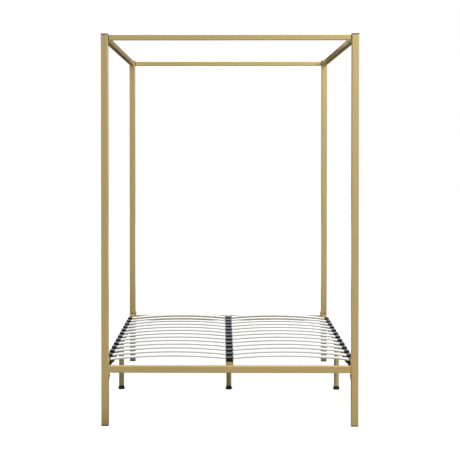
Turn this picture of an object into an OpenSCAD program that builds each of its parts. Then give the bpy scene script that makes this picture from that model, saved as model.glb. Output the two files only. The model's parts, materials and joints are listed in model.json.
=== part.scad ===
// Four poster canopy bed: square metal tube posts and rails, bowed slats in plastic holders,
// a centre beam and three support legs with levelling feet.
// X runs across the bed, Y from the foot end to the head end and Z up; the floor is Z = 0.

/* [Bed] */
// Outer width over the posts
bed_w = 1450; // [1400:5:1700]
// Outer length over the posts
bed_l = 1990; // [1970:5:2100]
// Length of a post tube, without its end caps
post_h = 2200; // [1800:10:2300]
// Height of the top of the slat rails
rail_top = 340; // [320:5:450]

/* [Tubes] */
// Side of a post's square tube
post_w = 40; // [38:1:50]
// Wall of every square and rectangular tube
tube_wall = 1.5; // [1.2:0.1:2]
// Outside corner radius of a post
post_r = 4; // [3:0.5:5]
// Side of a canopy rail's square tube
canopy_w = 30; // [26:1:36]
// Width of a slat rail
rail_w = 25; // [24:1:30]
// Height of a slat rail and of the centre beam
rail_h = 40; // [36:1:50]
// Width of the centre beam
beam_w = 44; // [40:1:60]
// Outside corner radius of the rails and the beam
rail_r = 3; // [2:0.5:4]

/* [Fittings] */
// Height of the visible flange of a post end cap
cap_h = 6; // [4:1:8]
// Thickness of the visible flange of a canopy rail's end plug
plug_flange = 5; // [3:0.5:8]
// Thickness of the end plate welded to a slat rail
plate_t = 4; // [3:0.5:6]
// Width of that end plate, whose ends are half round
plate_w = 32; // [30:1:36]
// Height of that end plate
plate_h = 116; // [110:1:130]
// Height between the two bolts of an end plate
bolt_gap = 70; // [66:1:74]

/* [Slats] */
// Rows of slats, two slats to a row
slat_rows = 13; // [8:1:13]
// Distance between rows
slat_pitch = 131; // [110:1:131]
// Distance from the foot end of the bed to the middle of the first row
slat_start = 165; // [150:1:180]
// Width of a slat
slat_w = 53; // [40:1:60]
// Thickness of a slat
slat_t = 8; // [7:0.5:9]
// Rise of a slat's middle above the line between its ends
slat_bow = 20; // [14:1:24]

/* [Support legs] */
// Diameter of a support leg
leg_d = 32; // [28:1:36]
// Offset of a side leg from the middle of its rail, towards the middle of the bed
leg_offset = 5; // [3:0.5:5]
// Travel of a levelling foot
foot_travel = 10; // [5:1:12]

/* [Hidden] */
$fn = 48;

black = "#1d1e20";
gold = "#b39d70";
zinc = "#a9abab";

// Gap left around a part that slips into another.
slip = 0.3;
// Radial gap of a shaft in its hole.
running = 0.05;

// Centres and inner faces of the posts.
post_x = bed_w / 2 - post_w / 2;
post_y = bed_l / 2 - post_w / 2;
face_x = bed_w / 2 - post_w;
face_y = bed_l / 2 - post_w;
post_top = cap_h + post_h;

// Middle heights of the canopy rails, the slat rails and the bolts of the slat rails.
canopy_z = post_top - canopy_w / 2;
rail_z = rail_top - rail_h / 2;
bolt_z = [rail_z - bolt_gap / 2, rail_z + bolt_gap / 2];

// Post end cap: depth of its plug and width of the slots that clear the canopy bolts.
cap_plug = 20;
cap_wall = 2.7;
cap_slot = 13;
cap_solid = 4;

// Canopy bolt and the threaded insert in the end plug.
canopy_bolt_d = 6;
canopy_bolt_l = 20;
canopy_head_d = 10.5;
canopy_head_h = 3.3;
plug_depth = 25;
insert_d = 9;
insert_l = 12;

// Rail bolt, and the threaded insert in the post.
bolt_d = 8;
bolt_head_d = 14;
bolt_head_h = 4.4;
post_insert_d = 11;
post_insert_l = 12;
post_collar_d = 14;
post_collar_l = 3;

// Saddle that carries an end of the centre beam.
saddle_t = 3;
saddle_l = 45;
saddle_h = 28;
saddle_screw_x = 12;
saddle_screw_z = rail_z - 8;
saddle_lock_l = 24;
beam_short = 8;
screw_d = 6;
screw_l = 12;

// Slat ends: distance from the middle of the bed and height of the middle of the thickness.
slat_inner = 8;
slat_outer = post_x - 1;
slat_inner_z = rail_top + 16;
slat_outer_z = rail_top + 8;
slat_chord = norm([slat_outer - slat_inner, slat_outer_z - slat_inner_z]);
slat_tilt = atan2(slat_outer_z - slat_inner_z, slat_outer - slat_inner);
slat_arc = (pow(slat_chord / 2, 2) + pow(slat_bow, 2)) / (2 * slat_bow);
slat_arc_fn = 1440;

// Slat holders: length along the rail, pegs, and the heights of their sections.
holder_l = slat_w + 7;
peg_d = 8;
peg_l = 8;
peg_y = 16;
side_holder_w = 28;
side_holder_h = 17;
side_lip = 7;
gusset_reach = 25;
gusset_drop = 25;
gusset_t = 4;
centre_holder_w = 38;
centre_holder_h = 24;
centre_lip = 7.5;
centre_base_h = 4.5;
centre_window_h = 6.5;
centre_window_w = 10;
centre_web = 9;

// Support legs: wall, flange of the top fitting and depth of the plugs.
leg_wall = 1.5;
leg_flange = 3;
leg_plug = 20;
leg_insert_l = 25;
weld_nut_d = 11.6;
weld_nut_h = 6.5;
leg_x = post_x - leg_offset;

// Levelling foot: a rubber disc that stands on the floor and a knob that turns on it.
foot_h = 23;
disc_d = 40;
disc_h = 3.5;
pivot_d = 10;
pivot_top = 9;
knob_d = 44.4;
knob_neck_d = 34;
knob_flare_top = 14;
knob_flare_low = 7;
knob_edge_r = 3;
stud_d = 8;
stud_top = foot_h + foot_travel + 12;

function slat_name(side, row) = str("slat_", side, "_", row < 10 ? "0" : "", row);
function slat_y(row) = slat_start - bed_l / 2 + (row - 1) * slat_pitch;

// ---------- shared shapes ----------

// Turns a shape drawn along +Z so that it runs along +X, with its own Y up.
module along_x() {
    rotate([90, 0, 90]) children();
}

// Turns a shape drawn along +Z so that it runs along +Y, with its own Y up.
module along_y() {
    rotate([90, 0, 180]) children();
}

// Copies a shape at the four corners of a rectangle.
module at_corners(x, y) {
    for (side = [-1, 1], end = [-1, 1])
        translate([side * x, end * y, 0]) children();
}

module rounded_square(w, h, r) {
    square([w - 2 * r, h], center = true);
    square([w, h - 2 * r], center = true);
    at_corners(w / 2 - r, h / 2 - r) circle(r);
}

module tube(length, w, h, r) {
    linear_extrude(length) difference() {
        rounded_square(w, h, r);
        rounded_square(w - 2 * tube_wall, h - 2 * tube_wall, r - tube_wall);
    }
}

// Removes the square corner outside an arc whose centre is the origin.
module corner_cut(r) {
    difference() {
        square(r + 1);
        circle(r);
    }
}

module ring(outer, inner, height) {
    difference() {
        cylinder(d = outer, h = height);
        translate([0, 0, -1]) cylinder(d = inner, h = height + 2);
    }
}

// Domed bolt with a hexagon socket; its head ends at Z = 0 and its shank goes up.
module button_bolt(shank_d, shank_l, head_d, head_h) {
    dome_r = (pow(head_d / 2, 2) + pow(head_h, 2)) / (2 * head_h);
    cylinder(d = shank_d, h = shank_l);
    difference() {
        mirror([0, 0, 1]) rotate_extrude() intersection() {
            square([head_d / 2, head_h]);
            translate([0, head_h - dome_r]) circle(dome_r);
        }
        translate([0, 0, -head_h - 1])
            cylinder(d = head_d * 0.42, h = 1 + head_h * 0.6, $fn = 6);
    }
}

// ---------- posts and their caps ----------

// Post at a corner; its holes face the middle of the bed. Inner is -1 or 1 along X and Y.
module post(inner_x, inner_y) {
    color(gold) translate([-inner_x * post_x, -inner_y * post_y, 0]) difference() {
        translate([0, 0, cap_h]) tube(post_h, post_w, post_w, post_r);
        for (z = bolt_z) post_hole(inner_x, inner_y, z, post_insert_d);
        post_hole(inner_x, inner_y, canopy_z, canopy_bolt_d + 0.4);
    }
}

// Holes of one diameter through the two inner faces of a post, at one height.
module post_hole(inner_x, inner_y, z, d) {
    translate([inner_x * post_w / 4, 0, z])
        rotate([0, inner_x * 90, 0]) cylinder(d = d, h = post_w);
    translate([0, inner_y * post_w / 4, z])
        rotate([-inner_y * 90, 0, 0]) cylinder(d = d, h = post_w);
}

// One end cap, its flange below Z = 0 and its plug pointing up into the tube.
module end_cap() {
    plug_w = post_w - 2 * tube_wall - 2 * slip;
    hollow_w = plug_w - 2 * cap_wall;
    translate([0, 0, -cap_h]) linear_extrude(cap_h) rounded_square(post_w, post_w, post_r);
    difference() {
        linear_extrude(cap_plug) difference() {
            rounded_square(plug_w, plug_w, post_r - tube_wall);
            rounded_square(hollow_w, hollow_w, 1);
        }
        for (turn = [0, 90]) rotate([0, 0, turn])
            translate([-post_w / 2, -cap_slot / 2, cap_solid]) cube([post_w, cap_slot, cap_plug]);
    }
}

module post_end_caps() {
    color(black) at_corners(post_x, post_y) {
        translate([0, 0, cap_h]) end_cap();
        translate([0, 0, post_top]) mirror([0, 0, 1]) end_cap();
    }
}

// ---------- canopy ----------

// Rail between two posts whose inner faces are at plus and minus end; it runs along +Z here.
module canopy_tube(end) {
    color(gold) translate([0, 0, -end + plug_flange])
        tube(2 * (end - plug_flange), canopy_w, canopy_w, rail_r);
}

// Puts a fitting drawn at a post's inner face, along +Z into the rail, at all eight rail ends.
module at_canopy_ends() {
    for (side = [-1, 1], end = [-1, 1]) {
        translate([side * face_x, end * post_y, canopy_z]) rotate([0, -side * 90, 0]) children();
        translate([side * post_x, end * face_y, canopy_z]) rotate([end * 90, 0, 0]) children();
    }
}

module canopy_end_plugs() {
    plug_w = canopy_w - 2 * tube_wall - 2 * slip;
    color(black) at_canopy_ends() difference() {
        union() {
            linear_extrude(plug_flange) rounded_square(canopy_w, canopy_w, rail_r);
            linear_extrude(plug_flange + plug_depth)
                rounded_square(plug_w, plug_w, rail_r - tube_wall);
        }
        translate([0, 0, -1]) cylinder(d = canopy_bolt_d + 0.6, h = canopy_bolt_l + 3);
        translate([0, 0, plug_flange]) cylinder(d = insert_d, h = insert_l);
    }
}

module canopy_plug_inserts() {
    color("goldenrod") at_canopy_ends() translate([0, 0, plug_flange])
        ring(insert_d, canopy_bolt_d + 2 * running, insert_l);
}

// The bolts sit inside the post, with their heads against its wall.
module canopy_bolts() {
    color(zinc) at_canopy_ends() translate([0, 0, -tube_wall])
        button_bolt(canopy_bolt_d, canopy_bolt_l, canopy_head_d, canopy_head_h);
}

// ---------- slat rails ----------

module end_plate() {
    straight = plate_h - plate_w;
    linear_extrude(plate_t) difference() {
        union() {
            square([plate_w, straight], center = true);
            for (end = [-1, 1]) translate([0, end * straight / 2]) circle(d = plate_w);
        }
        for (end = [-1, 1]) translate([0, end * bolt_gap / 2]) circle(d = bolt_d + 0.6);
    }
}

// Rail between two posts whose inner faces are at plus and minus end, with welded end plates.
module welded_rail(end) {
    translate([0, 0, -end + plate_t - 1])
        tube(2 * (end - plate_t + 1), rail_w, rail_h, rail_r);
    for (side = [0, 1]) mirror([0, 0, side])
        translate([0, 0, end - plate_t]) end_plate();
}

module foot_rail() {
    color(gold) end_rail(-1);
}

module head_rail() {
    color(gold) end_rail(1);
}

// Rail across an end of the bed, with the screw holes of its beam saddle.
module end_rail(end) {
    difference() {
        translate([0, end * post_y, rail_z]) along_x() welded_rail(face_x);
        for (x = [-saddle_screw_x, saddle_screw_x])
            translate([x, end * (post_y - rail_w / 4), saddle_screw_z]) rotate([end * 90, 0, 0])
                cylinder(d = screw_d + 2 * running, h = rail_w / 2);
    }
}

// Rail along a side of the bed, with the holes for the holder pegs and the leg stud.
module side_rail(side) {
    color(gold) difference() {
        union() {
            translate([side * post_x, 0, rail_z]) along_y() welded_rail(face_y);
            translate([side * leg_x, 0, rail_top - rail_h]) weld_nut();
        }
        peg_holes(side * post_x);
        translate([side * leg_x, 0, rail_top - rail_h]) stud_hole();
    }
}

// Pairs of holes for the slat holders' pegs in the top wall of a rail or beam.
module peg_holes(x) {
    for (row = [1 : slat_rows], step = [-peg_y, peg_y])
        translate([x, slat_y(row) + step, rail_top - 2 * tube_wall])
            cylinder(d = peg_d + 2 * running, h = 4 * tube_wall);
}

module weld_nut() {
    translate([0, 0, tube_wall / 2]) cylinder(d = weld_nut_d, h = weld_nut_h);
}

module stud_hole() {
    translate([0, 0, -1]) cylinder(d = stud_d + 2 * running, h = weld_nut_h + 4);
}

// Puts a fitting drawn at a post's inner face, along +Z into the post, at all sixteen bolts.
module at_rail_bolts() {
    for (side = [-1, 1], end = [-1, 1], z = bolt_z) {
        translate([side * face_x, end * post_y, z]) rotate([0, side * 90, 0]) children();
        translate([side * post_x, end * face_y, z]) rotate([-end * 90, 0, 0]) children();
    }
}

module post_inserts() {
    color(zinc) at_rail_bolts() {
        ring(post_insert_d - 2 * running, bolt_d + 2 * running, post_insert_l);
        translate([0, 0, tube_wall]) ring(post_collar_d, post_insert_d - 1, post_collar_l);
    }
}

module rail_bolts() {
    color(zinc) at_rail_bolts() translate([0, 0, -plate_t])
        button_bolt(bolt_d, plate_t + post_insert_l, bolt_head_d, bolt_head_h);
}

// ---------- centre beam ----------

// Inner face of the end rails, where the saddles are screwed on.
saddle_y = post_y - rail_w / 2;
beam_end = saddle_y - saddle_t - beam_short;

module centre_beam() {
    color(gold) difference() {
        union() {
            translate([0, 0, rail_z]) along_y() translate([0, 0, -beam_end])
                tube(2 * beam_end, beam_w, rail_h, rail_r);
            translate([0, 0, rail_top - rail_h]) weld_nut();
        }
        peg_holes(0);
        translate([0, 0, rail_top - rail_h]) stud_hole();
        for (end = [-1, 1])
            translate([0, end * (saddle_y - saddle_lock_l), rail_top - rail_h - 1])
                cylinder(d = screw_d + 2 * running, h = 1 + 2 * tube_wall);
    }
}

// One saddle at the head end: a back plate on the rail and a trough for the beam.
module beam_saddle() {
    inside = beam_w + 2 * slip;
    low = rail_top - rail_h - saddle_t;
    difference() {
        translate([-inside / 2 - saddle_t, saddle_y - saddle_l, low])
            cube([inside + 2 * saddle_t, saddle_l, saddle_h]);
        translate([-inside / 2, saddle_y - saddle_l - 1, low + saddle_t])
            cube([inside, saddle_l + 1 - saddle_t, saddle_h]);
        for (x = [-saddle_screw_x, saddle_screw_x])
            translate([x, saddle_y + 1, saddle_screw_z]) rotate([90, 0, 0])
                cylinder(d = screw_d + 0.4, h = saddle_t + 2);
        translate([0, saddle_y - saddle_lock_l, low - 1])
            cylinder(d = screw_d + 0.4, h = saddle_t + 2);
    }
}

module beam_saddles() {
    color(black) for (end = [0, 1]) mirror([0, end, 0]) beam_saddle();
}

module beam_screws() {
    color(zinc) for (end = [0, 1]) mirror([0, end, 0]) {
        for (x = [-saddle_screw_x, saddle_screw_x])
            translate([x, saddle_y - saddle_t, saddle_screw_z]) rotate([-90, 0, 0])
                button_bolt(screw_d, screw_l, canopy_head_d, canopy_head_h);
        translate([0, saddle_y - saddle_lock_l, rail_top - rail_h - saddle_t])
            button_bolt(screw_d, screw_l, canopy_head_d, canopy_head_h);
    }
}

// ---------- slats and their holders ----------

// Slat on the +X side at Y = 0, a bent strip grown by gap on every side.
module slat_shape(gap) {
    half = slat_chord / 2 + gap;
    thick = slat_t / 2 + gap;
    translate([(slat_inner + slat_outer) / 2, 0, (slat_inner_z + slat_outer_z) / 2])
        rotate([90, -slat_tilt, 0]) translate([0, slat_bow - slat_arc, 0])
            linear_extrude(slat_w + 2 * gap, center = true) intersection() {
                difference() {
                    circle(slat_arc + thick, $fn = slat_arc_fn);
                    circle(slat_arc - thick, $fn = slat_arc_fn);
                }
                translate([-half, slat_arc - 2 * slat_bow]) square([2 * half, 4 * slat_bow]);
            }
}

module slat(side, row) {
    color("white") translate([0, slat_y(row), 0])
        mirror([side < 0 ? 1 : 0, 0, 0]) slat_shape(0);
}

module pegs(x) {
    for (y = [-peg_y, peg_y]) translate([x, y, rail_top - peg_l])
        cylinder(d = peg_d, h = peg_l + 1);
}

// Plan of the side holder: rounded on the outer side, with a lip that comes to a blunt
// point over the slat. The rail's middle is X = 0 and the bed's middle is towards -X.
module side_holder_plan() {
    outer = side_holder_w / 2;
    round_r = 8;
    difference() {
        polygon([
            [-outer, -holder_l / 2],
            [outer, -holder_l / 2],
            [outer, holder_l / 2],
            [-outer, holder_l / 2],
            [-outer - side_lip, holder_l / 8],
            [-outer - side_lip, -holder_l / 8]
        ]);
        for (turn = [0, 1]) mirror([0, turn])
            translate([outer - round_r, holder_l / 2 - round_r]) corner_cut(round_r);
    }
}

// Outline of the side holder seen along the rail, rounded over its outer top edge.
module side_holder_outline() {
    outer = side_holder_w / 2;
    round_r = 9;
    difference() {
        translate([-outer - side_lip, 0]) square([2 * outer + side_lip, side_holder_h]);
        translate([outer - round_r, side_holder_h - round_r]) corner_cut(round_r);
    }
}

// Bracket under the slat's end: a skirt on the rail's inner face and two open ribs.
module side_gusset() {
    face = -rail_w / 2;
    skirt_t = 3;
    back = face - skirt_t;
    translate([back, -holder_l / 2 + 4, -gusset_drop])
        cube([skirt_t, holder_l - 8, gusset_drop + 4]);
    translate([back - gusset_reach, -holder_l / 2 + 4, 0])
        cube([gusset_reach + 1, holder_l - 8, 11]);
    for (y = [-holder_l / 2 + 4, holder_l / 2 - 4 - gusset_t])
        translate([back + 0.5, y + gusset_t, 0.5]) rotate([90, 0, 0]) linear_extrude(gusset_t)
            difference() {
                polygon([[0, 0], [-gusset_reach, 0], [0, -gusset_drop]]);
                polygon([[-4, -4], [-gusset_reach + 11, -4], [-4, -gusset_drop + 11]]);
            }
}

// Side slat holder on the +X rail, with a pocket for the slat's end.
module side_holder() {
    difference() {
        translate([post_x, 0, rail_top]) {
            intersection() {
                linear_extrude(side_holder_h) side_holder_plan();
                translate([0, holder_l / 2 + 1, 0]) rotate([90, 0, 0])
                    linear_extrude(holder_l + 2) side_holder_outline();
            }
            side_gusset();
        }
        slat_shape(slip);
    }
    pegs(post_x);
}

module side_slat_holders() {
    color(black) for (side = [0, 1], row = [1 : slat_rows])
        translate([0, slat_y(row), 0]) mirror([side, 0, 0]) side_holder();
}

// Six-sided plan, w wide and l long, with a point that reaches lip further at +X and -X.
module lip_plan(w, lip, l) {
    polygon([
        [-w / 2, -l / 2],
        [w / 2, -l / 2],
        [w / 2 + lip, 0],
        [w / 2, l / 2],
        [-w / 2, l / 2],
        [-w / 2 - lip, 0]
    ]);
}

// Double holder on the centre beam, open below its two pockets.
module centre_holder() {
    body_low = centre_base_h + centre_window_h;
    dish_r = 120;
    base_w = centre_holder_w + 2;
    difference() {
        translate([0, 0, rail_top]) {
            linear_extrude(centre_base_h) rotate(90) lip_plan(holder_l / 2, holder_l / 3, base_w);
            translate([0, 0, body_low]) linear_extrude(centre_holder_h - body_low)
                lip_plan(centre_holder_w, centre_lip, holder_l);
            translate([-centre_web / 2, -holder_l / 2, 0])
                cube([centre_web, holder_l, body_low + 1]);
            for (side = [0, 1]) mirror([side, 0, 0])
                translate([centre_web / 2 + centre_window_w, -holder_l / 4, 0])
                    cube([centre_holder_w / 2 - centre_web / 2 - centre_window_w, holder_l / 2,
                        body_low + 1]);
        }
        for (side = [0, 1]) mirror([side, 0, 0]) slat_shape(slip);
        translate([0, 0, rail_top + centre_holder_h + dish_r - 1.5])
            rotate([90, 0, 0]) cylinder(r = dish_r, h = 2 * holder_l, center = true, $fn = 360);
    }
    pegs(0);
}

module centre_slat_holders() {
    color(black) for (row = [1 : slat_rows]) translate([0, slat_y(row), 0]) centre_holder();
}

// ---------- support legs and levelling feet ----------

module leg(x) {
    bottom = foot_h + 0.5;
    color(gold) translate([x, 0, bottom])
        ring(leg_d, leg_d - 2 * leg_wall, rail_top - rail_h - leg_flange - bottom);
}

module leg_top_fittings() {
    top = rail_top - rail_h;
    plug_d = leg_d - 2 * leg_wall - 2 * slip;
    color(zinc) for (x = [-leg_x, 0, leg_x]) translate([x, 0, top]) {
        translate([0, 0, -leg_flange]) cylinder(d = leg_d, h = leg_flange);
        translate([0, 0, -leg_flange - leg_plug]) cylinder(d = plug_d, h = leg_plug);
        cylinder(d = stud_d, h = weld_nut_h + tube_wall);
    }
}

module leg_foot_inserts() {
    color(zinc) for (x = [-leg_x, 0, leg_x]) translate([x, 0, foot_h + 0.5])
        ring(leg_d - 2 * leg_wall - 2 * slip, stud_d + 2 * running, leg_insert_l);
}

module foot_disc(x) {
    color(black) translate([x, 0, 0]) {
        rotate_extrude() difference() {
            square([disc_d / 2, disc_h]);
            translate([disc_d / 2 - 1, 1]) mirror([0, 1]) corner_cut(1);
        }
        cylinder(d = pivot_d, h = pivot_top);
    }
}

// Knob that flares down to the disc, with the stud that screws into the leg.
module foot_knob(x) {
    low = disc_h + slip;
    neck_r = knob_neck_d / 2;
    edge_r = knob_d / 2;
    run = knob_flare_top - knob_flare_low;
    flare_r = (pow(edge_r - neck_r, 2) + pow(run, 2)) / (2 * (edge_r - neck_r));
    color(black) translate([x, 0, 0]) {
        difference() {
            rotate_extrude() difference() {
                union() {
                    translate([0, low]) square([neck_r, foot_h - low]);
                    translate([0, low]) square([edge_r, knob_flare_top - low]);
                }
                translate([neck_r + flare_r, knob_flare_top]) circle(flare_r);
                translate([edge_r - knob_edge_r, low + knob_edge_r]) mirror([0, 1])
                    corner_cut(knob_edge_r);
            }
            translate([0, 0, low - 1])
                cylinder(d = pivot_d + 2 * running, h = pivot_top + 0.5 - low + 1);
        }
        translate([0, 0, foot_h - 1]) cylinder(d = stud_d, h = stud_top - foot_h + 1);
    }
}

// ---------- the parts ----------

post(1, 1);  // post_foot_left
post(-1, 1);  // post_foot_right
post(1, -1);  // post_head_left
post(-1, -1);  // post_head_right
post_end_caps();
translate([0, -post_y, canopy_z]) along_x() canopy_tube(face_x);  // canopy_rail_foot
translate([0, post_y, canopy_z]) along_x() canopy_tube(face_x);  // canopy_rail_head
translate([-post_x, 0, canopy_z]) along_y() canopy_tube(face_y);  // canopy_rail_left
translate([post_x, 0, canopy_z]) along_y() canopy_tube(face_y);  // canopy_rail_right
canopy_end_plugs();
canopy_plug_inserts();
canopy_bolts();
foot_rail();
head_rail();
side_rail(-1);  // side_rail_left
side_rail(1);  // side_rail_right
post_inserts();
rail_bolts();
centre_beam();
beam_saddles();
beam_screws();
for (row = [1 : slat_rows]) {
    slat(-1, row);
    slat(1, row);
}
side_slat_holders();
centre_slat_holders();
leg(-leg_x);  // leg_left
leg(0);  // leg_centre
leg(leg_x);  // leg_right
leg_top_fittings();
leg_foot_inserts();
foot_disc(-leg_x);  // foot_disc_left
foot_disc(0);  // foot_disc_centre
foot_disc(leg_x);  // foot_disc_right
foot_knob(-leg_x);  // foot_knob_left
foot_knob(0);  // foot_knob_centre
foot_knob(leg_x);  // foot_knob_right
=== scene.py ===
"""Looks of the four poster canopy bed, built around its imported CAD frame.

Metres. X is across the bed, Y runs to the head end, Z is up.
"""

import json
import math

import bmesh
import bpy
from mathutils import Matrix, Vector


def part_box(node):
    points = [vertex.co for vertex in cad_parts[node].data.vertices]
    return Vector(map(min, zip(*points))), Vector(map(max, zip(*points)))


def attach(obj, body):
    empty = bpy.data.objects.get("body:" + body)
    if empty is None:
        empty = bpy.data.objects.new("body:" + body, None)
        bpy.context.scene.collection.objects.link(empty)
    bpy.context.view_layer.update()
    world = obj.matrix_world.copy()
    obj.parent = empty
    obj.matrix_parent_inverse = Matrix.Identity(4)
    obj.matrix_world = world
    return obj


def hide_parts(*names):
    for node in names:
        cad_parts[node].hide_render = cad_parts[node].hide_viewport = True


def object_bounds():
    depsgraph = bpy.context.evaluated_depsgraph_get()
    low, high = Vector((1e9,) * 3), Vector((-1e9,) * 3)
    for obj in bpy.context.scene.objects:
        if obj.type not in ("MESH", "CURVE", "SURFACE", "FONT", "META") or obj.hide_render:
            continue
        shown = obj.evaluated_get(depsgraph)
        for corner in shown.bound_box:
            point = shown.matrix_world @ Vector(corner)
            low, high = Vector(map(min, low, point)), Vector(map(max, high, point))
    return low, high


FRAME_BODY = "bed_frame"
SIDES = {"left": -1, "right": 1}
FEET = ("left", "centre", "right")
MM = 0.001

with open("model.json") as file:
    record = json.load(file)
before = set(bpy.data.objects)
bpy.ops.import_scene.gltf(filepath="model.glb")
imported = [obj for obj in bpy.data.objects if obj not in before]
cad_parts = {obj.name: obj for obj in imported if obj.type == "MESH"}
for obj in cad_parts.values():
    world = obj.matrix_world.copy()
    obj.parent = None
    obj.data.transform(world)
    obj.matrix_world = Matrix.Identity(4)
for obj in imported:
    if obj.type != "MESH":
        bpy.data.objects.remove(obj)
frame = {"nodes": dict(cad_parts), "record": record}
nodes = frame["nodes"]
cad_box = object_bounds()


# ---------- camera ----------

CAMERA_LENS = 88.245
CAMERA_SENSOR = 36
CAMERA_SHIFT = (0.0415, -0.13295)
CAMERA_X = -0.039
CAMERA_HEIGHT = 1.563
CAMERA_DISTANCE = 6.3332
CAMERA_TILT_DOWN = 1.0
CAMERA_TURN_LEFT = 0.608


def make_camera():
    """A long lens from the foot end, with the lens shifted down so that the posts stay almost upright."""
    data = bpy.data.cameras.new("camera")
    data.sensor_width = CAMERA_SENSOR
    data.lens = CAMERA_LENS
    data.shift_x, data.shift_y = CAMERA_SHIFT
    camera = bpy.data.objects.new("camera", data)
    camera.location = (CAMERA_X, cad_box[0].y - CAMERA_DISTANCE, CAMERA_HEIGHT)
    camera.rotation_euler = (math.radians(90 - CAMERA_TILT_DOWN), 0, math.radians(CAMERA_TURN_LEFT))
    bpy.context.scene.collection.objects.link(camera)
    bpy.context.scene.camera = camera


make_camera()


# ---------- node helpers ----------

class Nodes:
    """A material's or world's node tree, with short calls that add and join nodes."""

    def __init__(self, tree):
        self.tree = tree
        tree.nodes.clear()

    def add(self, kind, inputs=None, **settings):
        node = self.tree.nodes.new(kind)
        for name, value in settings.items():
            setattr(node, name, value)
        for key, value in (inputs or {}).items():
            self.set(node, key, value)
        return node

    def set(self, node, key, value):
        if isinstance(value, bpy.types.NodeSocket):
            self.tree.links.new(value, node.inputs[key])
        else:
            node.inputs[key].default_value = value

    def math(self, operation, a, b=0.0, c=0.0):
        return self.add("ShaderNodeMath", {0: a, 1: b, 2: c}, operation=operation).outputs[0]

    def ramp(self, value, stops, smooth=False):
        node = self.add("ShaderNodeValToRGB", {"Fac": value})
        ramp = node.color_ramp
        ramp.interpolation = "EASE" if smooth else "LINEAR"
        while len(ramp.elements) < len(stops):
            ramp.elements.new(0.5)
        for element, (position, colour) in zip(ramp.elements, stops):
            element.position = position
            element.color = (*colour, 1)
        return node.outputs["Color"]

    def noise(self, vector, scale, detail=2.0, roughness=0.5):
        inputs = {"Vector": vector, "Scale": scale, "Detail": detail, "Roughness": roughness}
        return self.add("ShaderNodeTexNoise", inputs).outputs["Fac"]

    def place(self, scale=(1, 1, 1)):
        """Position in the frame, stretched."""
        position = self.add("ShaderNodeTexCoord").outputs["Object"]
        return self.add("ShaderNodeMapping", {"Vector": position, "Scale": scale}).outputs["Vector"]

    def mix(self, factor, a, b):
        node = self.add("ShaderNodeMix", data_type="RGBA")
        for socket, value in ((node.inputs[0], factor), (node.inputs[6], a), (node.inputs[7], b)):
            if isinstance(value, bpy.types.NodeSocket):
                self.tree.links.new(value, socket)
            else:
                socket.default_value = value
        return node.outputs[2]

    def split(self, vector):
        """The X, Y and Z of a vector."""
        return self.add("ShaderNodeSeparateXYZ", {0: vector}).outputs

    def rise(self, value, start, end):
        """0 at start and 1 at end, held beyond them."""
        return self.add("ShaderNodeMapRange", {"Value": value, 1: start, 2: end}).outputs[0]

    def bump(self, height, strength, distance, under=None):
        inputs = {"Height": height, "Strength": strength, "Distance": distance}
        if under is not None:
            inputs["Normal"] = under
        return self.add("ShaderNodeBump", inputs).outputs["Normal"]


def material(name):
    made = bpy.data.materials.new(name)
    made.use_nodes = True
    return made, Nodes(made.node_tree)


def surface(n, **inputs):
    """Principled shader joined to the output; keys are socket names with _ for a space."""
    shader = n.add("ShaderNodeBsdfPrincipled")
    for key, value in inputs.items():
        n.set(shader, key.replace("_", " "), value)
    n.add("ShaderNodeOutputMaterial", {"Surface": shader.outputs[0]})
    return shader


# ---------- materials ----------

def gold_powder_coat(name, square):
    """Satin champagne gold powder coat: fine orange peel, metal flake and slow drifts in tone.

    On square tube the rounded edges are lighter and less rough in uneven stretches: a painted edge
    highlight.
    """
    made, n = material(name)
    place = n.place()
    drift = n.noise(n.place((1.5, 1.5, 0.7)), 2.2, 1)
    flake = n.noise(place, 1500, 1)
    tone = n.mix(drift, (0.58, 0.452, 0.20, 1), (0.63, 0.495, 0.235, 1))
    tone = n.mix(n.math("MULTIPLY", flake, 0.30), tone, (0.76, 0.62, 0.34, 1))
    rough = n.math("MULTIPLY_ADD", n.noise(place, 60, 2), 0.10, 0.29)
    if square:
        normal = n.add("ShaderNodeNewGeometry").outputs["Normal"]
        facing = n.add("ShaderNodeVectorMath", {0: normal}, operation="ABSOLUTE").outputs[0]
        axes = n.split(facing)
        largest = n.math("MAXIMUM", n.math("MAXIMUM", axes["X"], axes["Y"]), axes["Z"])
        # Painted highlight: the rounded edges of square tube are mixed towards a lighter gold, in uneven
        # stretches.
        edge = n.rise(largest, 0.97, 0.75)
        painted_edge_highlight = n.math("MULTIPLY", edge, n.math("MULTIPLY", n.noise(place, 14, 3), 0.6))
        tone = n.mix(painted_edge_highlight, tone, (0.80, 0.67, 0.37, 1))
        rough = n.math("MULTIPLY_ADD", painted_edge_highlight, -0.10, rough)
    peel = n.bump(n.noise(place, 420, 2), 0.15, 0.0004)
    grain = n.bump(flake, 0.08, 0.0002, peel)
    surface(n, Base_Color=tone, Metallic=0.66, Roughness=rough,
            Specular_Tint=(0.90, 0.74, 0.44, 1), Normal=grain)
    return made


def black_plastic():
    """Moulded black plastic with a fine spark-eroded grain and a gloss that shows at low angles."""
    made, n = material("black_plastic")
    place = n.place()
    grain = n.noise(place, 1100, 3, 0.6)
    tone = n.mix(n.noise(place, 35, 2), (0.003, 0.0033, 0.004, 1), (0.006, 0.0065, 0.008, 1))
    rough = n.math("MULTIPLY_ADD", n.noise(place, 90, 2), 0.12, 0.20)
    surface(n, Base_Color=tone, Roughness=rough, Specular_IOR_Level=0.22, Normal=n.bump(grain, 0.12, 0.0001))
    return made


def black_steel():
    """Black powder coat over steel."""
    made, n = material("black_steel")
    place = n.place()
    tone = n.mix(n.noise(place, 20, 2), (0.013, 0.013, 0.014, 1), (0.024, 0.024, 0.026, 1))
    peel = n.bump(n.noise(place, 520, 2), 0.25, 0.0003)
    surface(n, Base_Color=tone, Roughness=n.math("MULTIPLY_ADD", n.noise(place, 70), 0.1, 0.4), Normal=peel)
    return made


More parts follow.
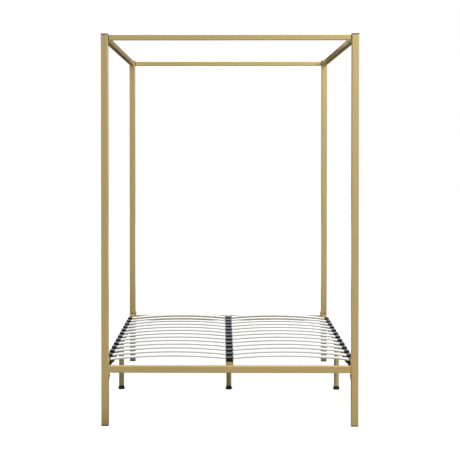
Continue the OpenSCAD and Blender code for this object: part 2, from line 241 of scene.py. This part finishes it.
def metal(name, dark, light, roughness, scale):
    """Plated or turned metal with fine streaks and small changes in tone."""
    made, n = material(name)
    place = n.place()
    tone = n.mix(n.noise(place, scale, 3), (*dark, 1), (*light, 1))
    streak = n.noise(n.place((1, 1, 9)), scale * 5, 2)
    rough = n.math("MULTIPLY_ADD", streak, 0.18, roughness)
    surface(n, Base_Color=tone, Metallic=1.0, Roughness=rough, Normal=n.bump(streak, 0.12, 0.0002))
    return made


def rubber():
    """Dull black rubber with a dusty, pitted skin."""
    made, n = material("foot_rubber")
    place = n.place()
    tone = n.mix(n.noise(place, 60, 3), (0.012, 0.012, 0.012, 1), (0.028, 0.028, 0.028, 1))
    surface(n, Base_Color=tone, Roughness=0.72, Normal=n.bump(n.noise(place, 900, 3), 0.3, 0.0003))
    return made


# ---------- the slats' arc ----------

SLAT_BOW = 20 * MM
SLAT_T = 8 * MM
SLAT_EDGE_R = 0.9 * MM
RAIL_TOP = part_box("centre_beam")[1].z
SLAT_INNER_END = Vector((8 * MM, RAIL_TOP + 16 * MM))
SLAT_OUTER_END = Vector((704 * MM, RAIL_TOP + 8 * MM))


class SlatArc:
    """The bent middle line of a right-hand slat, in X and Z."""

    def __init__(self):
        chord = SLAT_OUTER_END - SLAT_INNER_END
        half = chord.length / 2
        self.radius = (half * half + SLAT_BOW * SLAT_BOW) / (2 * SLAT_BOW)
        self.half_angle = math.asin(half / self.radius)
        self.tilt = math.atan2(chord.y, chord.x)
        up = Vector((-math.sin(self.tilt), math.cos(self.tilt)))
        self.centre = (SLAT_INNER_END + SLAT_OUTER_END) / 2 - up * (self.radius - SLAT_BOW)

    def at(self, share):
        """Point and upward normal at a share from the inner end, 0, to the outer end, 1."""
        angle = (2 * share - 1) * self.half_angle - self.tilt
        normal = Vector((math.sin(angle), math.cos(angle)))
        return self.centre + normal * self.radius, normal

    def share_at(self, x):
        angle = math.asin((x - self.centre.x) / self.radius) + self.tilt
        return (angle / self.half_angle + 1) / 2


arc = SlatArc()


PLY_WAVES = 3.5


def slat_foil():
    """White foil with a faint embossed grain; the long edges show the plywood's layers."""
    made, n = material("white_slat_foil")
    position = n.add("ShaderNodeTexCoord").outputs["Object"]
    spot = n.split(position)
    x = n.math("SUBTRACT", n.math("ABSOLUTE", spot["X"]), arc.centre.x)
    z = n.math("SUBTRACT", spot["Z"], arc.centre.y)
    radius = n.math("SQRT", n.math("ADD", n.math("MULTIPLY", x, x), n.math("MULTIPLY", z, z)))
    layer = n.math("DIVIDE", n.math("SUBTRACT", radius, arc.radius - SLAT_T / 2), SLAT_T)
    grain = n.noise(n.place((6, 90, 90)), 3.0, 4, 0.65)
    band = n.math("SINE", n.math("MULTIPLY", layer, 2 * math.pi * PLY_WAVES))
    ply = n.math("MULTIPLY_ADD", band, 0.22, n.math("MULTIPLY_ADD", grain, 0.7, 0.1))
    edge_tone = n.mix(ply, (0.49, 0.48, 0.44, 1), (0.70, 0.69, 0.645, 1))
    cloud = n.noise(n.place((2, 40, 40)), 4.0, 3)
    face_tone = n.mix(cloud, (0.80, 0.795, 0.78, 1), (0.86, 0.855, 0.84, 1))
    normal = n.split(n.add("ShaderNodeNewGeometry").outputs["Normal"])
    edge = n.math("SMOOTH_MIN", n.math("MULTIPLY", n.math("ABSOLUTE", normal["Y"]), 1.6), 1.0, 0.2)
    edge = n.math("POWER", edge, 4)
    tone = n.mix(edge, face_tone, edge_tone)
    emboss = n.bump(grain, 0.16, 0.0003)
    rough = n.math("MULTIPLY_ADD", grain, 0.12, 0.36)
    surface(n, Base_Color=tone, Roughness=rough, Specular_IOR_Level=0.2, Normal=emboss)
    return made


GOLD = gold_powder_coat("gold_powder_coat", True)
GOLD_ROUND = gold_powder_coat("gold_powder_coat_round", False)
PLASTIC = black_plastic()
FOIL = slat_foil()
MATERIALS = {
    "gold_frame": GOLD,
    "black_plastic": PLASTIC,
    "white_slats": FOIL,
    "black_steel": black_steel(),
    "bolt_steel": metal("dark_zinc", (0.09, 0.095, 0.115), (0.17, 0.18, 0.21), 0.24, 160),
    "zinc_hardware": metal("zinc_plate", (0.50, 0.51, 0.53), (0.66, 0.67, 0.68), 0.30, 120),
    "brass_inserts": metal("turned_brass", (0.55, 0.40, 0.15), (0.68, 0.52, 0.24), 0.26, 140),
    "rubber_disc": rubber(),
}
SLOT_OF = {row["node"]: row["material_slot"] for row in frame["record"]["subparts"]}


# ---------- CAD nodes: materials and softened edges ----------

def soften(obj, width, angle=35):
    """Joins the mesh's split seams and rounds its sharp edges."""
    weld = obj.modifiers.new("join_seams", "WELD")
    weld.merge_threshold = 0.00001
    bevel = obj.modifiers.new("round_edges", "BEVEL")
    bevel.width = width
    bevel.segments = 2
    bevel.limit_method = "ANGLE"
    bevel.angle_limit = math.radians(angle)
    bevel.harden_normals = False
    bevel.use_clamp_overlap = True


for name, node in nodes.items():
    node.data.materials.clear()
    round_tube = name.startswith("leg_") and SLOT_OF[name] == "gold_frame"
    node.data.materials.append(GOLD_ROUND if round_tube else MATERIALS[SLOT_OF[name]])


# ---------- building pieces ----------

def finished_mesh(name, bm, slot_name, smooth_angle=35):
    """Turns a bmesh into a shaded mesh with its slot's material."""
    bmesh.ops.recalc_face_normals(bm, faces=bm.faces[:])
    mesh = bpy.data.meshes.new(name)
    bm.to_mesh(mesh)
    bm.free()
    mesh.materials.append(MATERIALS[slot_name])
    mesh.shade_smooth()
    mesh.set_sharp_from_angle(angle=math.radians(smooth_angle))
    return mesh


def place_mesh(name, mesh, body=FRAME_BODY, stands_for=(), at=(0, 0, 0)):
    """Makes a mesh a piece with its body and the CAD nodes it stands for."""
    obj = bpy.data.objects.new(name, mesh)
    bpy.context.scene.collection.objects.link(obj)
    obj.location = at
    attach(obj, body)
    if stands_for:
        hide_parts(*stands_for)
    return obj


def finish_piece(name, bm, slot_name, body=FRAME_BODY, smooth_angle=35, stands_for=()):
    mesh = finished_mesh(name, bm, slot_name, smooth_angle)
    return place_mesh(name, mesh, body, stands_for)


def add_loops(bm, loops, closed=True):
    """Skins a row of equal point loops into faces, with a cap on the first and the last."""
    rows = [[bm.verts.new(p) for p in loop] for loop in loops]
    count = len(rows[0])
    for low, high in zip(rows, rows[1:]):
        for i in range(count):
            j = (i + 1) % count
            bm.faces.new((low[i], low[j], high[j], high[i]))
    if closed:
        bm.faces.new(rows[0][::-1])
        bm.faces.new(rows[-1])
    return rows


def in_mm(*points):
    """Points given in millimetres, as metres."""
    return [tuple(value * MM for value in point) for point in points]


def skin_ring(bm, rows):
    """Joins rows of equal vertex loops into a closed ring of faces, the last row back to the first."""
    count = len(rows[0])
    for a, b in zip(rows, rows[1:] + rows[:1]):
        for i in range(count):
            j = (i + 1) % count
            bm.faces.new((a[i], a[j], b[j], b[i]))


def rounded_rectangle(w, h, r, steps=4):
    """Points of a rectangle with round corners about the origin, anticlockwise."""
    points = []
    for turn, (sx, sy) in enumerate(((1, 1), (-1, 1), (-1, -1), (1, -1))):
        for i in range(steps + 1):
            angle = math.pi / 2 * (turn + i / steps)
            points.append((sx * (w / 2 - r) + r * math.cos(angle), sy * (h / 2 - r) + r * math.sin(angle)))
    return points


# ---------- slats ----------

SLAT_STEPS = 56


def slat_mesh(side, y, width):
    """Bowed strip with rounded long edges and slightly drawn-in ends."""
    section = rounded_rectangle(width, SLAT_T, SLAT_EDGE_R, 3)
    bm = bmesh.new()
    loops = []
    for i in range(SLAT_STEPS + 1):
        share = i / SLAT_STEPS
        point, normal = arc.at(share)
        end = min(share, 1 - share) * SLAT_STEPS
        narrow = 1 - 0.02 * max(0, 1 - end)
        loops.append([
            (side * (point.x + normal.x * w), y + v * narrow, point.y + normal.y * w)
            for v, w in section
        ])
    add_loops(bm, loops)
    return bm


def make_slats():
    """A bowed strip in place of each flat CAD slat."""
    for name in sorted(n for n in nodes if n.startswith("slat_")):
        low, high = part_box(name)
        side = SIDES[name.split("_")[1]]
        bm = slat_mesh(side, (low.y + high.y) / 2, high.y - low.y)
        finish_piece("bowed_" + name, bm, "white_slats", stands_for=[name])


# ---------- slat holders ----------

HOLDER_L = 60 * MM


def rounded_box(bm, low, high, r, cuts=5):
    """Box whose edges and corners are round; faces are split where the rounding starts."""
    def stations(a, b):
        bend = [a + r * (1 - math.cos(math.pi / 2 * i / cuts)) for i in range(cuts + 1)]
        return bend + [a + b - v for v in reversed(bend)]

    steps = [stations(low[k], high[k]) for k in range(3)]
    inner_low = [low[k] + r for k in range(3)]
    inner_high = [high[k] - r for k in range(3)]
    made = {}

    def vertex(i, j, k):
        if (i, j, k) not in made:
            p = Vector((steps[0][i], steps[1][j], steps[2][k]))
            core = Vector([min(max(p[a], inner_low[a]), inner_high[a]) for a in range(3)])
            out = p - core
            made[i, j, k] = bm.verts.new(core + out.normalized() * r if out.length > 1e-9 else p)
        return made[i, j, k]

    n = [len(s) - 1 for s in steps]
    for axis in range(3):
        a, b = [x for x in range(3) if x != axis]
        for level in (0, n[axis]):
            for i in range(n[a]):
                for j in range(n[b]):
                    corners = []
                    for da, db in ((0, 0), (1, 0), (1, 1), (0, 1)):
                        index = [0, 0, 0]
                        index[axis], index[a], index[b] = level, i + da, j + db
                        corners.append(vertex(*index))
                    bm.faces.new(corners)
    return list(made.values())


def prism(bm, outline, low, high):
    """Solid with a flat outline of (x, z) points, pushed along Y."""
    add_loops(bm, [[(x, level, z) for x, z in outline] for level in (low, high)])


def frame_prism(bm, outer, inner, low, high):
    """Ring between two outlines of equal length in X and Z, pushed along Y."""
    rings = [[(x, level, z) for x, z in outline] for outline in (outer, inner) for level in (low, high)]
    skin_ring(bm, [[bm.verts.new(p) for p in ring] for ring in (rings[0], rings[1], rings[3], rings[2])])


def bevelled(bm, width, segments=2, angle=30):
    """Rounds every edge sharper than the angle."""
    bmesh.ops.recalc_face_normals(bm, faces=bm.faces[:])
    sharp = [e for e in bm.edges if len(e.link_faces) == 2 and e.calc_face_angle() > math.radians(angle)]
    bmesh.ops.bevel(bm, geom=sharp, offset=width, segments=segments, affect="EDGES",
                    profile=0.5, clamp_overlap=True)


def merge_into(target, part):
    """Adds one bmesh's shells to another."""
    mesh = bpy.data.meshes.new("part")
    part.to_mesh(mesh)
    part.free()
    target.from_mesh(mesh)
    bpy.data.meshes.remove(mesh)


def side_holder_cap(whole):
    """Rounded cap over the rail, with a curved nose towards the bed's middle."""
    half_w, top, straight, nose = 14 * MM, 17 * MM, 8 * MM, 7 * MM
    cap = bmesh.new()
    points = rounded_box(cap, (-half_w, -HOLDER_L / 2, 0.2 * MM), (half_w, HOLDER_L / 2, top), 4.5 * MM)
    for v in points:
        if v.co.x < -straight:
            reach = 1 - (abs(v.co.y) / (HOLDER_L / 2)) ** 2
            v.co.x -= nose * max(0, reach) * (-v.co.x - straight) / (half_w - straight)
    merge_into(whole, cap)


def side_holder_mouth(whole):
    """Collar round the slat's end."""
    mouth_x = 0.684
    point, _ = arc.at(arc.share_at(mouth_x))
    centre_z = point.y - RAIL_TOP
    outer = [(y, centre_z + z) for y, z in rounded_rectangle(57 * MM, 10.8 * MM, 2.4 * MM, 3)]
    inner = [(y, centre_z + z) for y, z in rounded_rectangle(53.6 * MM, 8.6 * MM, 1.6 * MM, 3)]
    back, front = -12 * MM, -17.5 * MM
    mouth = bmesh.new()
    rings = [(outer, back), (outer, front), (inner, front), (inner, back)]
    skin_ring(mouth, [[mouth.verts.new((x, y, z)) for y, z in ring] for ring, x in rings])
    bevelled(mouth, 0.5 * MM, angle=50)
    merge_into(whole, mouth)


def side_holder_bmesh():
    """Right-hand side holder at Y = 0, X from the rail's middle and Z from the rail's top."""
    whole = bmesh.new()
    side_holder_cap(whole)
    reach = 26 * MM
    skirt = in_mm((-15.5, -25), (-12.5, -25), (-12.5, 5), (-15.5, 5))
    tray = in_mm((-40.5, 0), (-12.5, 0), (-12.5, 5), (-40.5, 9.4))
    for outline, round_off in ((skirt, 0.7 * MM), (tray, 0.9 * MM)):
        part = bmesh.new()
        prism(part, outline, -reach, reach)
        bevelled(part, round_off)
        merge_into(whole, part)
    rib_t = 3 * MM
    outer = in_mm((-15, 0.5), (-40, 0.5), (-15, -24.5))
    inner = in_mm((-17.2, -2.4), (-33.5, -2.4), (-17.2, -18.7))
    for y in (-reach, reach - rib_t):
        rib = bmesh.new()
        frame_prism(rib, outer, inner, y, y + rib_t)
        bevelled(rib, 0.6 * MM)
        merge_into(whole, rib)
    side_holder_mouth(whole)
    return whole


def centre_holder_head(whole):
    """Dished head over the slat ends, with lips that come to a point at each side."""
    low, high, dish = 11 * MM, 24 * MM, 1.5 * MM
    half, lip = 19 * MM, 7.5 * MM
    across, along = 12, 16
    head = bmesh.new()
    rows = {}
    for j in range(along + 1):
        y = HOLDER_L * (j / along - 0.5)
        reach = half + lip * max(0.0, 1 - abs(y) / (HOLDER_L / 2))
        for i in range(across + 1):
            u = 2 * i / across - 1
            top = high - dish * (1 - u * u)
            rows[i, j, 1] = head.verts.new((u * reach, y, top))
            rows[i, j, 0] = head.verts.new((u * reach, y, low))
    for j in range(along):
        for i in range(across):
            for level in (0, 1):
                head.faces.new([rows[i + a, j + b, level] for a, b in ((0, 0), (1, 0), (1, 1), (0, 1))])
        for i in (0, across):
            head.faces.new((rows[i, j, 0], rows[i, j + 1, 0], rows[i, j + 1, 1], rows[i, j, 1]))
    for i in range(across):
        for j in (0, along):
            head.faces.new((rows[i, j, 0], rows[i + 1, j, 0], rows[i + 1, j, 1], rows[i, j, 1]))
    bevelled(head, 1.6 * MM, 3, 50)
    merge_into(whole, head)


def centre_holder_bmesh():
    """Double holder at Y = 0 with Z from the beam's top: a head carried by webs on an open base."""
    whole = bmesh.new()
    centre_holder_head(whole)
    plan = [(-20, -15), (0, -35), (20, -15), (20, 15), (0, 35), (-20, 15)]
    opening = [(-13, -9), (0, -26), (13, -9), (13, 9), (0, 26), (-13, 9)]
    base_low, base_high = 0.1, 4.5
    rings = [(plan, base_low), (plan, base_high), (opening, base_high), (opening, base_low)]
    base = bmesh.new()
    skin_ring(base, [[base.verts.new((x * MM, y * MM, z * MM)) for x, y in outline] for outline, z in rings])
    bevelled(base, 0.9 * MM)
    merge_into(whole, base)
    web_low, web_high = 3, 13
    for x0, x1, y in ((-1.6, 1.6, 29.5), (-19, -14.5, 15), (14.5, 19, 15)):
        web = bmesh.new()
        prism(web, in_mm((x0, web_low), (x1, web_low), (x1, web_high), (x0, web_high)), -y * MM, y * MM)
        bevelled(web, 0.5 * MM)
        merge_into(whole, web)
    return whole


def slat_rows():
    """Middle of each row of slats along Y, from the foot end."""
    names = sorted(n for n in nodes if n.startswith("slat_right_"))
    boxes = [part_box(n) for n in names]
    return [(low.y + high.y) / 2 for low, high in boxes]


def make_holders():
    """A side holder at each end of every row of slats, and a double holder on the beam."""
    rail_x = (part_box("side_rail_right")[0].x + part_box("side_rail_right")[1].x) / 2
    right = side_holder_bmesh()
    left = right.copy()
    bmesh.ops.transform(left, matrix=Matrix.Scale(-1, 4, (1, 0, 0)), verts=left.verts)
    meshes = {1: finished_mesh("side_holder_right", right, "black_plastic"),
              -1: finished_mesh("side_holder_left", left, "black_plastic")}
    centre = finished_mesh("centre_holder", centre_holder_bmesh(), "black_plastic")
    for row, y in enumerate(slat_rows(), 1):
        for word, side in SIDES.items():
            place_mesh(f"side_holder_{word}_{row:02d}", meshes[side],
                       at=(side * rail_x, y, RAIL_TOP))
        place_mesh(f"centre_holder_{row:02d}", centre, at=(0, y, RAIL_TOP))
    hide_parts("side_slat_holders")
    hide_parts("centre_slat_holders")


# ---------- weld beads ----------

WELD_R = 1.7 * MM
WELD_RIPPLE = 0.16
WELD_STEP = 1.4 * MM
PLATE_T = 4 * MM
RAIL_W, RAIL_H, RAIL_R = 25 * MM, 40 * MM, 3 * MM
RAILS = ("foot_rail", "head_rail", "side_rail_left", "side_rail_right")


def weld_bead_bmesh(rail, end):
    """Rippled fillet round a slat rail's tube at its low or high end, where the end plate starts."""
    low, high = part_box(rail)
    middle = (low + high) / 2
    along_x = rail in ("foot_rail", "head_rail")
    half = (high.x - low.x if along_x else high.y - low.y) / 2
    around = 8
    path = even_points(rounded_rectangle(RAIL_W, RAIL_H, RAIL_R, 4), WELD_STEP)
    loops = []
    for k, (point, normal) in enumerate(path):
        r = WELD_R * (1 + WELD_RIPPLE * math.sin(k * math.pi / 2))
        ring = []
        for i in range(around):
            angle = 2 * math.pi * i / around
            out = r * math.cos(angle)
            reach = end * (half - (PLATE_T + r * math.sin(angle)))
            u, w = point[0] + normal[0] * out, point[1] + normal[1] * out
            shift = (reach, u, w) if along_x else (u, reach, w)
            ring.append(middle + Vector(shift))
        loops.append(ring)
    bm = bmesh.new()
    rows = add_loops(bm, loops, closed=False)
    for i in range(around):
        j = (i + 1) % around
        bm.faces.new((rows[-1][i], rows[-1][j], rows[0][j], rows[0][i]))
    return bm


def make_weld_beads():
    """A bead at both ends of each slat rail."""
    for rail in RAILS:
        for word, end in (("low", -1), ("high", 1)):
            bead = weld_bead_bmesh(rail, end)
            finish_piece(f"weld_bead_{rail}_{word}", bead, "gold_frame", smooth_angle=80)


def even_points(outline, step):
    """Points and outward normals at even steps round a closed outline."""
    count = len(outline)
    edges = [(Vector(outline[i]), Vector(outline[(i + 1) % count])) for i in range(count)]
    lengths = [(b - a).length for a, b in edges]
    total = sum(lengths)
    number = int(total / step / 4) * 4
    result = []
    for k in range(number):
        distance = total * k / number
        for (a, b), length in zip(edges, lengths):
            if distance <= length and length > 0:
                direction = (b - a).normalized()
                result.append((a + direction * distance, (direction.y, -direction.x)))
                break
            distance -= length
    return result


# ---------- levelling feet ----------

KNOB_FLUTES = 12
FLUTE_DEPTH = 0.7 * MM
KNOB_STEPS = 96


def knob_profile():
    """(radius, height, flute share) from the pivot hole below, out, up the flare and in at the neck."""
    points = [(5.05, 9.5, 0), (5.05, 3.8, 0), (12, 3.8, 0), (19.0, 3.8, 0)]
    rim_r, rim_x, rim_z, rim_steps = 3, 19.2, 6.8, 6
    for i in range(rim_steps + 1):
        share = i / rim_steps
        angle = math.pi / 2 * (share - 1)
        points.append((rim_x + rim_r * math.cos(angle), rim_z + rim_r * math.sin(angle), share))
    points.append((22.2, 9.6, 1))
    flare_r, neck_r, flare_top, flare_steps = 7.31, 17, 17, 8
    for i in range(1, flare_steps + 1):
        angle = math.radians(253 - 73 * i / flare_steps)
        radius = neck_r + flare_r + flare_r * math.cos(angle)
        points.append((radius, flare_top + flare_r * math.sin(angle), 1 - i / 10))
    points += [(17, 19.5, 0.1), (17, 22.2, 0), (16.7, 22.8, 0), (16.2, 23, 0), (4.6, 23, 0)]
    return [(r * MM, z * MM, flute) for r, z, flute in points]


def circle(x, y, z, radii):
    """A level loop of points about (x, y), one for each radius."""
    count = len(radii)
    turns = [2 * math.pi * i / count for i in range(count)]
    return [(x + r * math.cos(angle), y + r * math.sin(angle), z) for r, angle in zip(radii, turns)]


def make_knobs():
    """Fluted flared knobs, each with a threaded stud that goes up into the leg."""
    flutes = [(0.5 - 0.5 * math.cos(KNOB_FLUTES * 2 * math.pi * i / KNOB_STEPS)) ** 2
              for i in range(KNOB_STEPS)]
    for foot in FEET:
        body = "foot_knob_" + foot
        low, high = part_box(body)
        x, y = (low.x + high.x) / 2, (low.y + high.y) / 2
        knob = bmesh.new()
        add_loops(knob, [circle(x, y, z, [radius - FLUTE_DEPTH * share * flute for flute in flutes])
                         for radius, z, share in knob_profile()])
        finish_piece("grip_knob_" + foot, knob, "black_plastic", body, 40, [body])
        thread = bmesh.new()
        add_thread(thread, x, y, 22.5 * MM, high.z)
        finish_piece("thread_stud_" + foot, thread, "zinc_hardware", body, 60)


def add_thread(bm, x, y, low, high):
    """Stud with a helical M8 ridge, 1.25 mm pitch, as one swept skin."""
    pitch, crest, root = 1.25 * MM, 3.98 * MM, 3.4 * MM
    around, levels = 24, 6
    steps = int((high - low) / pitch * levels)
    loops = []
    for k in range(steps + 1):
        z = low + (high - low) * k / steps
        taper = min(1, (high - z) / (1.5 * MM))
        ridges = [1 - abs(2 * ((z / pitch - i / around) % 1) - 1) for i in range(around)]
        loops.append(circle(x, y, z, [root + (crest - root) * ridge * taper for ridge in ridges]))
    add_loops(bm, loops)


make_slats()
make_holders()
make_weld_beads()
make_knobs()
for name in ("post_end_caps", "canopy_end_plugs", "beam_saddles"):
    soften(nodes[name], 0.8 * MM)
for name in RAILS:
    soften(nodes[name], 0.5 * MM)


# ---------- stage and light ----------

FLOOR_SIZE = 30
FLOOR_GAP = 0.3 * MM
FLOOR_GLOW = 0.86
# Colours of the floor's painted shade under and behind the bed, and of its painted light ahead of it and far
# off.
FLOOR_BEHIND = (0.02, 0.021, 0.022, 1)
FLOOR_AHEAD = (0.53, 0.475, 0.38, 1)
FLOOR_FAR_LEFT = (0.28, 0.29, 0.28, 1)
FLOOR_FAR_RIGHT = (0.41, 0.41, 0.38, 1)
FLOOR_UNDER = [(0.0, (0.09, 0.075, 0.06)), (0.5, (0.01, 0.01, 0.01)), (0.9, (0.42, 0.37, 0.28))]


def floor_material():
    """Pale to the camera. To the object it glows with painted light and shade: a painted shadow under and
    behind the bed, and painted light, brighter and warmer, ahead of it.
    """
    made, n = material("studio_floor")
    seen = n.add("ShaderNodeLightPath").outputs["Is Camera Ray"]
    tone = n.mix(n.noise(n.place(), 1.5, 2), (0.21, 0.21, 0.21, 1), (0.23, 0.23, 0.23, 1))
    shown = n.add("ShaderNodeBsdfDiffuse", {"Color": tone})
    glow = n.add("ShaderNodeEmission", {"Color": (1, 1, 1, 1), "Strength": FLOOR_GLOW})
    pale = n.add("ShaderNodeAddShader", {0: shown.outputs[0], 1: glow.outputs[0]})
    # Painted light and shade that only the object sees: an emitted pattern, dark under the bed and bright
    # ahead of it.
    spot = n.split(n.place())
    ahead = n.rise(spot["Y"], -0.95, -1.5)
    distant = n.rise(spot["Y"], -6.0, -16.0)
    under = n.rise(spot["Y"], 0.4, 0.0)
    across = n.rise(spot["X"], -1.0, 1.0)
    wide = n.rise(spot["X"], -1.5, 1.5)
    painted_shade_near = n.mix(under, FLOOR_BEHIND, n.ramp(across, FLOOR_UNDER, True))
    lit = n.mix(distant, FLOOR_AHEAD, n.mix(wide, FLOOR_FAR_LEFT, FLOOR_FAR_RIGHT))
    painted_floor_light = n.add("ShaderNodeEmission", {"Color": n.mix(ahead, painted_shade_near, lit), "Strength": 1.0})
    both = n.add("ShaderNodeMixShader", {"Fac": seen, 1: painted_floor_light.outputs[0], 2: pale.outputs[0]})
    n.add("ShaderNodeOutputMaterial", {"Surface": both.outputs[0]})
    return made


def make_floor():
    bm = bmesh.new()
    bmesh.ops.create_grid(bm, x_segments=8, y_segments=8, size=FLOOR_SIZE)
    mesh = bpy.data.meshes.new("studio_floor")
    bm.to_mesh(mesh)
    bm.free()
    mesh.materials.append(floor_material())
    floor = bpy.data.objects.new("studio_floor", mesh)
    floor.location.z = cad_box[0].z - FLOOR_GAP
    bpy.context.scene.collection.objects.link(floor)


def grey(level):
    return (level, level, level)


def make_world():
    """White to the camera. For light and gloss it is bright in front and above, and dim behind.

    A bright panel stands at the far left, and a fainter one behind the bed to the right.
    """
    world = bpy.data.worlds.new("studio")
    bpy.context.scene.world = world
    world.use_nodes = True
    n = Nodes(world.node_tree)
    way = n.split(n.add("ShaderNodeTexCoord").outputs["Generated"])
    front = n.math("MULTIPLY_ADD", way["Y"], -0.5, 0.5)
    slope = n.math("MULTIPLY_ADD", way["X"], 1.4, 1.04)
    wall = n.math("MULTIPLY", n.ramp(front, [(0.2, grey(0.05)), (0.9, grey(0.57))], True), slope)
    left = n.math("MULTIPLY", way["X"], -1.0)
    wall = n.math("ADD", wall, n.ramp(left, [(0.78, grey(0.0)), (0.95, grey(1.8))], True))
    behind = n.rise(way["Y"], 0.93, 0.98)
    right = n.rise(way["X"], 0.03, 0.09)
    low = n.rise(way["Z"], 0.16, 0.11)
    panel = n.math("MULTIPLY", n.math("MULTIPLY", behind, right), low)
    wall = n.math("MULTIPLY_ADD", panel, 0.35, wall)
    above = n.ramp(way["Z"], [(0.25, grey(0.0)), (1.0, grey(1.0))], True)
    level = n.math("MULTIPLY_ADD", above, 0.9, wall)
    light = n.add("ShaderNodeCombineXYZ", {0: level, 1: level, 2: level}).outputs[0]
    seen = n.add("ShaderNodeLightPath").outputs["Is Camera Ray"]
    background = n.add("ShaderNodeBackground", {"Color": n.mix(seen, light, (1, 1, 1, 1)), "Strength": 1.0})
    n.add("ShaderNodeOutputWorld", {"Surface": background.outputs[0]})


def add_area(name, place, target, size, power, colour=(1, 1, 1), seen=True):
    """Rectangular lamp at a place, facing a target; seen says if the camera sees the lamp itself."""
    data = bpy.data.lights.new(name, "AREA")
    data.shape = "RECTANGLE"
    data.size, data.size_y = size
    data.energy = power
    data.color = colour
    lamp = bpy.data.objects.new(name, data)
    lamp.location = place
    lamp.rotation_euler = (Vector(target) - Vector(place)).to_track_quat("-Z", "Y").to_euler()
    lamp.visible_camera = seen
    bpy.context.scene.collection.objects.link(lamp)


WARM_WHITE = (1.0, 0.97, 0.90)
COOL_WHITE = (0.80, 0.90, 1.0)


def make_lights():
    """Soft key from the front right and soft top light, with a glare on one rail and on the holders."""
    add_area("key_softbox", (3.4, -5.0, 4.0), (0, 0, 1.0), (1.8, 1.8), 120)
    add_area("top_softbox", (0.4, 0.8, 5.0), (0, 0, 0.4), (3, 3), 105)
    add_area("rail_card", (0.56, 0.25, 2.30), (0.69, -0.8, 2.19), (0.10, 0.10), 0.06,
             WARM_WHITE, seen=False)
    add_area("low_back_strip", (0, 1.9, 0.70), (0, 0, 0.62), (2.4, 0.5), 4.2,
             COOL_WHITE, seen=False)


make_floor()
make_world()
make_lights()
bpy.context.scene.view_settings.view_transform = "Standard"
